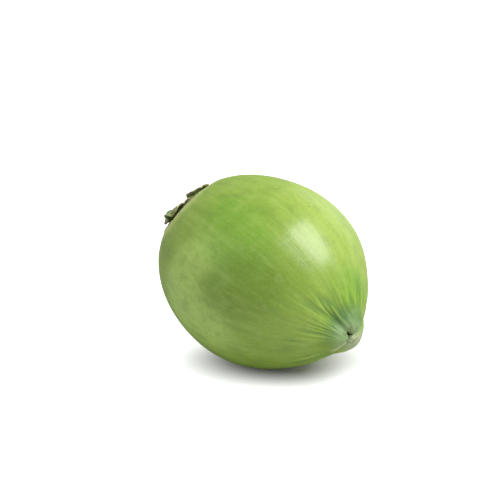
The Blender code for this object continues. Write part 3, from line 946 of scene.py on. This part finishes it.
def paint(tree, ground, coats):
    """Lays coats over a ground colour, each where its value plus its noise is high enough."""
    painted = None
    for kept, noise_at_point, fraying, low, high, strength, code in coats:
        links = {"Value": noise_at_point}
        if kept:
            kept_node = add_node(tree, "ShaderNodeAttribute", {"attribute_name": kept})
            links["Value_002"] = kept_node.outputs["Fac"]
        settings = {"operation": "MULTIPLY_ADD", "Value_001": fraying, "Value_002": 0.0}
        value = add_node(tree, "ShaderNodeMath", settings, links)
        settings = {"From Min": low, "From Max": high, "To Max": strength}
        settings["interpolation_type"] = "SMOOTHSTEP"
        cover = add_node(tree, "ShaderNodeMapRange", settings, {"Value": value.outputs["Value"]})
        settings = {"data_type": "RGBA", "A_Color": colour(ground), "B_Color": colour(code)}
        links = {"Factor_Float": cover.outputs["Result"]}
        if painted:
            links["A_Color"] = painted
        painted = add_node(tree, "ShaderNodeMix", settings, links).outputs[2]
    return painted


print("half grey on screen is", round(colour("#808080")[0], 3), "in linear light")

# %% [markdown]
# ## The green skin
#
# The skin of a young coconut is alive, smooth and waxy: a satin gloss, under which short fibres
# run along the fruit and show as fine paler and darker lines. Five noises make its texture:
# broad clouds, a finer mottling and a grain, and two that are stretched along the growth of the
# fruit, for the fibres and for wider strands. They would be one image map if the skin were
# painted, but a noise has no seam and no limit of detail.

# %% Skin: five noises
CLOUD_SIZE = 46
MOTTLE_SIZE = 13
GRAIN_SIZE = 2.4
STRAND_SIZE = (5, 34)
FIBRE_SIZE = (1.1, 17)
EVEN_ROUGHNESS = 0.6
STRETCHED_ROUGHNESS = 0.58

husk_skin, skin, skin_shader = new_material("waxy_green_husk")
growth_at = add_node(skin, "ShaderNodeAttribute", {"attribute_name": "growth"}).outputs["Vector"]
object_at = add_node(skin, "ShaderNodeTexCoord").outputs["Object"]
clouds, mottle, grain = [
    add_node(
        skin,
        "ShaderNodeTexNoise",
        {"Scale": per_metre(size), "Detail": detail, "Roughness": EVEN_ROUGHNESS},
        {"Vector": object_at},
    ).outputs["Fac"]
    for size, detail in ((CLOUD_SIZE, 3.0), (MOTTLE_SIZE, 6.0), (GRAIN_SIZE, 2.0))
]
lengthwise = []
for across, along in (STRAND_SIZE, FIBRE_SIZE):
    stretched = add_node(
        skin,
        "ShaderNodeMapping",
        {"Scale": (per_metre(across), per_metre(across), per_metre(along))},
        {"Vector": growth_at},
    )
    lengthwise.append(
        add_node(
            skin,
            "ShaderNodeTexNoise",
            {"Scale": 1.0, "Detail": 3.0, "Roughness": STRETCHED_ROUGHNESS},
            {"Vector": stretched.outputs["Vector"]},
        ).outputs["Fac"]
    )
strands, fibres = lengthwise
print("clouds", CLOUD_SIZE, "mm, mottling", MOTTLE_SIZE, "mm, fibres", FIBRE_SIZE[0], "mm apart")

# %% [markdown]
# The colours go on from the broadest to the finest, and the same few noises serve them all.
# First come the patches, then the mottling, strands, fibres and grain, each once paler and once
# darker. The tip follows, with its bluish side, its furrows painted darker as painted shade and
# its ridges paler as painted light, its lobes, and its slit near black as painted shade, and
# last the ring round the calyx, where the skin stays pale because the bracts covered it.

# %% Skin: coats of colour
SKIN_GREEN = "#83A030"
SKIN_YELLOW = "#97AF45"
SKIN_OLIVE = "#5F7E00"
SKIN_GREY_AND_SHEEN = "#ADCB64"
SKIN_FRESH = "#6A9C1C"
SKIN_PALE = "#9BB659"
SKIN_DARK = "#688829"
TIP_BLUE = "#55794C"
FURROW_SHADE_GREEN = "#55802F"
RIDGE_LIGHT_YELLOW = "#97B848"
LOBE_GREEN = "#8DA873"
LOBE_OLIVE = "#A6B088"
LOBE_LINE = "#C9CCA0"
MOTTLE_BROWN = "#6C7048"
SLIT_SHADE_BROWN = "#221F12"
RING_GREEN = "#AFC069"
RING_CREAM = "#E0E29E"

skin_colour = paint(
    skin,
    SKIN_GREEN,
    (
        ("yellow_share", clouds, 1.6, 0.95, 1.85, 0.85, SKIN_YELLOW),
        # Grey patches: thick wax, and on the left a painted sheen of the light from that side
        ("grey_and_sheen_share", clouds, 1.2, 0.75, 1.60, 0.85, SKIN_GREY_AND_SHEEN),
        ("fresh_share", clouds, 1.4, 0.90, 1.65, 0.75, SKIN_FRESH),
        ("olive_share", mottle, 1.8, 0.95, 2.20, 0.90, SKIN_OLIVE),
        (None, mottle, 1.0, 0.50, 0.68, 0.34, SKIN_PALE),
        (None, mottle, 1.0, 0.50, 0.32, 0.42, SKIN_DARK),
        (None, strands, 1.0, 0.50, 0.70, 0.24, SKIN_PALE),
        (None, strands, 1.0, 0.50, 0.32, 0.24, SKIN_DARK),
        (None, fibres, 1.0, 0.48, 0.30, 0.28, SKIN_DARK),
        (None, fibres, 1.0, 0.54, 0.74, 0.22, SKIN_PALE),
        (None, grain, 1.0, 0.50, 0.30, 0.22, SKIN_DARK),
        (None, grain, 1.0, 0.52, 0.72, 0.18, SKIN_PALE),
        ("tip_share", strands, 0.5, 0.45, 1.20, 0.80, TIP_BLUE),
        # Painted light: the ridges are painted paler, as if lit on their tops
        ("ridge", strands, 0.0, 0.20, 0.90, 0.50, RIDGE_LIGHT_YELLOW),
        # Painted shade: the furrows are painted darker, as shade falls in them
        ("furrow", strands, 0.0, 0.10, 0.90, 0.75, FURROW_SHADE_GREEN),
        ("lobe_share", mottle, 0.7, 0.60, 1.20, 0.70, LOBE_GREEN),
        ("small_lobe", mottle, 0.8, 0.50, 1.25, 0.85, LOBE_OLIVE),
        ("lobe_share", grain, 1.6, 1.75, 1.95, 0.60, MOTTLE_BROWN),
        ("pale_line", mottle, 0.5, 0.45, 1.00, 0.80, LOBE_LINE),
        # Painted shade: the slit is painted near black, as shade fills it
        ("slit_share", grain, 0.5, 0.50, 0.80, 0.95, SLIT_SHADE_BROWN),
        ("ring_share", mottle, 1.0, 0.80, 1.45, 0.80, RING_GREEN),
        ("ring_line", mottle, 1.5, 1.15, 1.75, 0.90, RING_CREAM),
    ),
)
print("coats laid, the last one the cream line round the calyx")

# %% [markdown]
# Here and there the skin carries a dark corky speck. A Voronoi pattern scatters one point to a
# cell, and only some of the cells get a speck.

# %% Skin: specks
SPECK_SPACING = 15
SPECK_EDGE = (0.060, 0.030)
SPECK_STRENGTH = 0.85
SPECK_CHOICE = (0.56, 0.58)
SPECK_BROWN = "#5A5428"

cells = add_node(
    skin,
    "ShaderNodeTexVoronoi",
    {"Scale": per_metre(SPECK_SPACING), "Randomness": 1.0},
    {"Vector": object_at},
)
cell_number = add_node(skin, "ShaderNodeSeparateXYZ", links={"Vector": cells.outputs["Color"]})
spot = add_node(
    skin,
    "ShaderNodeMapRange",
    {"From Min": SPECK_EDGE[0], "From Max": SPECK_EDGE[1], "To Max": SPECK_STRENGTH},
    {"Value": cells.outputs["Distance"]},
)
chosen = add_node(
    skin,
    "ShaderNodeMapRange",
    {"From Min": SPECK_CHOICE[0], "From Max": SPECK_CHOICE[1]},
    {"Value": cell_number.outputs["X"]},
)
speck = add_node(
    skin,
    "ShaderNodeMath",
    {"operation": "MULTIPLY"},
    {"Value": spot.outputs["Result"], "Value_001": chosen.outputs["Result"]},
)
skin_colour = add_node(
    skin,
    "ShaderNodeMix",
    {"data_type": "RGBA", "B_Color": colour(SPECK_BROWN)},
    {"Factor_Float": speck.outputs["Value"], "A_Color": skin_colour},
).outputs[2]
skin.links.new(skin_colour, skin_shader.inputs["Base Color"])
print("specks in some of the cells,", SPECK_SPACING, "mm apart")

# %% [markdown]
# The skin gives two glosses at once. It has a weak satin sheen of its own, for which its
# specular level is set low, and over it lies the wax, a thin clearer coat in which the softbox
# shows as a highlight with an edge. The wax fades out at the rim and near the tip, where it is
# rubbed dull. A very low bump from the fibres breaks the highlight into fine lengthwise lines,
# which is what tells skin from plastic.

# %% Skin: gloss and bump
SKIN_IOR = 1.45
SKIN_SHEEN = 0.25
SKIN_ROUGHNESS = (0.42, 0.50)
MOTTLE_LEVELS = (0.35, 0.65)
WAX_SHARE = 0.93
WAX_ROUGHNESS = 0.23
WAX_FADE = (0.15, 0.75)
RIM_BLEND = 0.5
TIP_DULLNESS = 0.5
FIBRE_HEIGHT = 0.00014
FIBRE_BUMP = 0.6

gloss = add_node(
    skin,
    "ShaderNodeMapRange",
    {
        "From Min": MOTTLE_LEVELS[0],
        "From Max": MOTTLE_LEVELS[1],
        "To Min": SKIN_ROUGHNESS[0],
        "To Max": SKIN_ROUGHNESS[1],
    },
    {"Value": mottle},
)
skin.links.new(gloss.outputs["Result"], skin_shader.inputs["Roughness"])
skin_shader.inputs["IOR"].default_value = SKIN_IOR
skin_shader.inputs["Specular IOR Level"].default_value = SKIN_SHEEN
facing = add_node(skin, "ShaderNodeLayerWeight", {"Blend": RIM_BLEND}).outputs["Facing"]
near_tip = add_node(skin, "ShaderNodeAttribute", {"attribute_name": "tip_share"}).outputs["Fac"]
dull = add_node(
    skin,
    "ShaderNodeMath",
    {"operation": "MULTIPLY_ADD", "Value_001": TIP_DULLNESS},
    {"Value": near_tip, "Value_002": facing},
)
wax = add_node(
    skin,
    "ShaderNodeMapRange",
    {"From Min": WAX_FADE[0], "From Max": WAX_FADE[1], "To Min": WAX_SHARE, "To Max": 0.0},
    {"Value": dull.outputs["Value"]},
)
skin.links.new(wax.outputs["Result"], skin_shader.inputs["Coat Weight"])
skin_shader.inputs["Coat Roughness"].default_value = WAX_ROUGHNESS
skin_bump = add_node(
    skin, "ShaderNodeBump", {"Strength": FIBRE_BUMP, "Distance": FIBRE_HEIGHT}, {"Height": fibres}
)
skin.links.new(skin_bump.outputs["Normal"], skin_shader.inputs["Normal"])
skin.links.new(skin_bump.outputs["Normal"], skin_shader.inputs["Coat Normal"])
husk.data.materials.append(husk_skin)
print("skin nodes:", len(skin.nodes))

# %% [markdown]
# ## Leathery bracts
#
# A bract is living leaf that has grown thick and tough, and dies from its margin inwards. Its
# face is mid green under a grey bloom, dull, with fine veins that run outwards. The margin is a
# ribbon of tan cork with cream where it tore and dark specks of mould. Round the stump the root
# is painted dark brown, as painted shade in the hollows there, with a streak of torn fibre
# across it. The values that were kept when each bract was bent carry these colours, and a noise
# frays them. The veins follow the fan in which a bract was laid out, and each bract's fan is
# shifted, so that no two have the same veins.

# %% Bract material
BLOOM_SIZE = 7
MOULD_SIZE = 2.2
VEIN_SIZE = (9, 1.0)
FAN_SCALE = 40.0
PATTERN_ROUGHNESS = 0.62
BRACT_ROUGHNESS = 0.58
VEIN_HEIGHT = 0.0003
VEIN_BUMP = 0.8
BRACT_GREEN = "#64823A"
BRACT_BLOOM = "#869B78"
BRACT_DARK = "#48602C"
BRACT_TAN = "#948F5C"
MARGIN_CREAM = "#D8D496"
MOULD_BROWN = "#4A4128"
ROOT_SHADE_BROWN = "#33301C"

dry_bract, bract_tree, bract_shader = new_material("dry_leathery_bract")
fan_at = add_node(bract_tree, "ShaderNodeAttribute", {"attribute_name": "fan"}).outputs["Vector"]
bract_at = add_node(bract_tree, "ShaderNodeTexCoord").outputs["Object"]
vein_place = add_node(
    bract_tree,
    "ShaderNodeMapping",
    {"Scale": (per_metre(VEIN_SIZE[0]), per_metre(VEIN_SIZE[1]), FAN_SCALE)},
    {"Vector": fan_at},
).outputs["Vector"]
bloom, mould, veins = [
    add_node(
        bract_tree,
        "ShaderNodeTexNoise",
        {"Scale": scale, "Detail": 4.0, "Roughness": PATTERN_ROUGHNESS},
        {"Vector": place},
    ).outputs["Fac"]
    for scale, place in (
        (per_metre(BLOOM_SIZE), bract_at),
        (per_metre(MOULD_SIZE), bract_at),
        (1.0, vein_place),
    )
]
bract_colour = paint(
    bract_tree,
    BRACT_GREEN,
    (
        (None, bloom, 1.0, 0.38, 0.60, 0.90, BRACT_BLOOM),
        (None, veins, 1.0, 0.50, 0.32, 0.60, BRACT_DARK),
        ("margin", bloom, 1.6, 0.95, 1.60, 0.90, BRACT_TAN),
        ("margin", mould, 2.4, 2.00, 2.30, 0.65, MOULD_BROWN),
        # Painted shade: the root is painted dark, as shade in the hollows round the stump
        ("root", mould, 1.2, 1.35, 1.62, 0.95, ROOT_SHADE_BROWN),
        ("scar", mould, 0.9, 0.92, 1.12, 0.90, BRACT_TAN),
        ("scar", mould, 0.9, 1.06, 1.24, 0.95, MARGIN_CREAM),
        ("torn", bloom, 0.8, 0.85, 1.25, 0.85, MARGIN_CREAM),
        (None, mould, 1.0, 0.64, 0.72, 0.70, MOULD_BROWN),
    ),
)
bract_tree.links.new(bract_colour, bract_shader.inputs["Base Color"])
bract_shader.inputs["Roughness"].default_value = BRACT_ROUGHNESS
bract_bump = add_node(
    bract_tree,
    "ShaderNodeBump",
    {"Strength": VEIN_BUMP, "Distance": VEIN_HEIGHT},
    {"Height": veins},
)
bract_tree.links.new(bract_bump.outputs["Normal"], bract_shader.inputs["Normal"])
for bract in bracts:
    bract.data.materials.append(dry_bract)
print("bract nodes:", len(bract_tree.nodes))

# %% [markdown]
# ## Torn fibres
#
# The stump is bare fibre, pulled apart: cream where it is clean, tan where it has dried and
# dark brown in its holes.

# %% Stump material
STUMP_CREAM = "#D9CB9E"
STUMP_TAN = "#A58B58"
STUMP_BROWN = "#4C3B22"
STUMP_ROUGHNESS = 0.85
SPLINTER_HEIGHT = 0.0004
SPLINTER_BUMP = 0.8

torn_fibre, stump_tree, stump_shader = new_material("torn_stalk_fibre")
stump_place = add_node(stump_tree, "ShaderNodeAttribute", {"attribute_name": "fibres"})
holes = add_node(
    stump_tree,
    "ShaderNodeTexNoise",
    {"Scale": 1.0, "Detail": 4.0},
    {"Vector": stump_place.outputs["Vector"]},
).outputs["Fac"]
stump_colour = paint(
    stump_tree,
    STUMP_CREAM,
    (
        (None, holes, 1.0, 0.46, 0.56, 0.80, STUMP_TAN),
        (None, holes, 1.0, 0.54, 0.64, 0.95, STUMP_BROWN),
    ),
)
stump_tree.links.new(stump_colour, stump_shader.inputs["Base Color"])
stump_shader.inputs["Roughness"].default_value = STUMP_ROUGHNESS
stump_bump = add_node(
    stump_tree,
    "ShaderNodeBump",
    {"Strength": SPLINTER_BUMP, "Distance": SPLINTER_HEIGHT},
    {"Height": holes},
)
stump_tree.links.new(stump_bump.outputs["Normal"], stump_shader.inputs["Normal"])
stub.data.materials.append(torn_fibre)
print("stump nodes:", len(stump_tree.nodes))

# %% [markdown]
# ## Floor and light
#
# The fruit lies on a plain white table in a white tent. As in a catalogue picture the table is
# cleared to pure white but for a small soft shadow where the fruit touches it. The clearing is
# painted light: a glow, which only the camera sees, grows with the distance from the fruit, so
# the shape of the soft shadow is a painted shadow, set by where the glow fades. The floor's own
# grey is what the real shadow falls on, and under the lights it comes out near white.

# %% Floor
FLOOR_SIZE = 14.0
FLOOR_GREY = "#C8C8C8"
FLOOR_ROUGHNESS = 0.9
GLOW_ASIDE = 0.014
GLOW_REACH = (0.103, 0.064)
GLOW_START = 0.30

bpy.ops.mesh.primitive_plane_add(size=FLOOR_SIZE)
floor = bpy.context.object
floor.name = "floor"
floor_paint, floor_tree, floor_shader = new_material("table_with_painted_glow")
floor_shader.inputs["Base Color"].default_value = colour(FLOOR_GREY)
floor_shader.inputs["Roughness"].default_value = FLOOR_ROUGHNESS
floor_shader.inputs["Emission Color"].default_value = (1, 1, 1, 1)
floor_at = add_node(floor_tree, "ShaderNodeTexCoord").outputs["Object"]
glow_place = add_node(
    floor_tree,
    "ShaderNodeMapping",
    {
        "vector_type": "TEXTURE",
        "Location": RIGHT * GLOW_ASIDE,
        "Rotation": (0, 0, CAMERA_TURN),
        "Scale": (*GLOW_REACH, 1.0),
    },
    {"Vector": floor_at},
)
from_fruit = add_node(
    floor_tree,
    "ShaderNodeVectorMath",
    {"operation": "LENGTH"},
    {"Vector": glow_place.outputs["Vector"]},
)
# The glow is painted light, and the soft shadow's shape is painted where it fades
seen = add_node(floor_tree, "ShaderNodeLightPath").outputs["Is Camera Ray"]
glow = add_node(
    floor_tree,
    "ShaderNodeMapRange",
    {"From Min": GLOW_START, "From Max": 1.0, "interpolation_type": "SMOOTHSTEP"},
    {"Value": from_fruit.outputs["Value"]},
)
seen_glow = add_node(
    floor_tree,
    "ShaderNodeMath",
    {"operation": "MULTIPLY"},
    {"Value": glow.outputs["Result"], "Value_001": seen},
)
floor_tree.links.new(seen_glow.outputs["Value"], floor_shader.inputs["Emission Strength"])
floor.data.materials.append(floor_paint)
print("floor", FLOOR_SIZE, "m wide, pure white", GLOW_REACH[0] * 1000, "mm aside of the fruit")

# %% [markdown]
# The tent gives even light from all sides. A large softbox high on the right draws the broad
# highlight and makes that side the brighter one, and a weaker one low behind draws a pale
# sheen on the far rim. A softbox is an area light, and its size sets how soft its edge looks.
# The standard view transform keeps white white, where a filmic one would grey it, and the
# camera sees the tent itself pure white.

# %% World and softboxes
TENT_LIGHT = 0.68
KEY_DIRECTION = Vector((0.544, 0.146, 0.826))
KEY_DISTANCE = 1.3
KEY_SIZE = 0.90
KEY_POWER = 17.0
RIM_DIRECTION = Vector((-0.18, 0.92, 0.32))
RIM_DISTANCE = 1.3
RIM_SIZE = 0.9
RIM_POWER = 3.2

world = bpy.data.worlds.new("white_tent")
world.use_nodes = True
tent = world.node_tree.nodes["Background"]
tent.inputs["Color"].default_value = (1, 1, 1, 1)
looked_at = add_node(world.node_tree, "ShaderNodeLightPath").outputs["Is Camera Ray"]
tent_strength = add_node(
    world.node_tree,
    "ShaderNodeMapRange",
    {"To Min": TENT_LIGHT, "To Max": 1.0},
    {"Value": looked_at},
)
world.node_tree.links.new(tent_strength.outputs["Result"], tent.inputs["Strength"])
bpy.context.scene.world = world
bpy.context.scene.view_settings.view_transform = "Standard"
for name, direction, distance, size, power in (
    ("key_softbox", KEY_DIRECTION, KEY_DISTANCE, KEY_SIZE, KEY_POWER),
    ("rim_softbox", RIM_DIRECTION, RIM_DISTANCE, RIM_SIZE, RIM_POWER),
):
    bpy.ops.object.light_add(type="AREA", location=FRUIT_MIDDLE + direction.normalized() * distance)
    softbox = bpy.context.object
    softbox.name = name
    softbox.rotation_euler = direction.to_track_quat("Z", "Y").to_euler()
    softbox.data.size = size
    softbox.data.energy = power
print("tent light", TENT_LIGHT, "- key", KEY_POWER, "W, rim", RIM_POWER, "W")
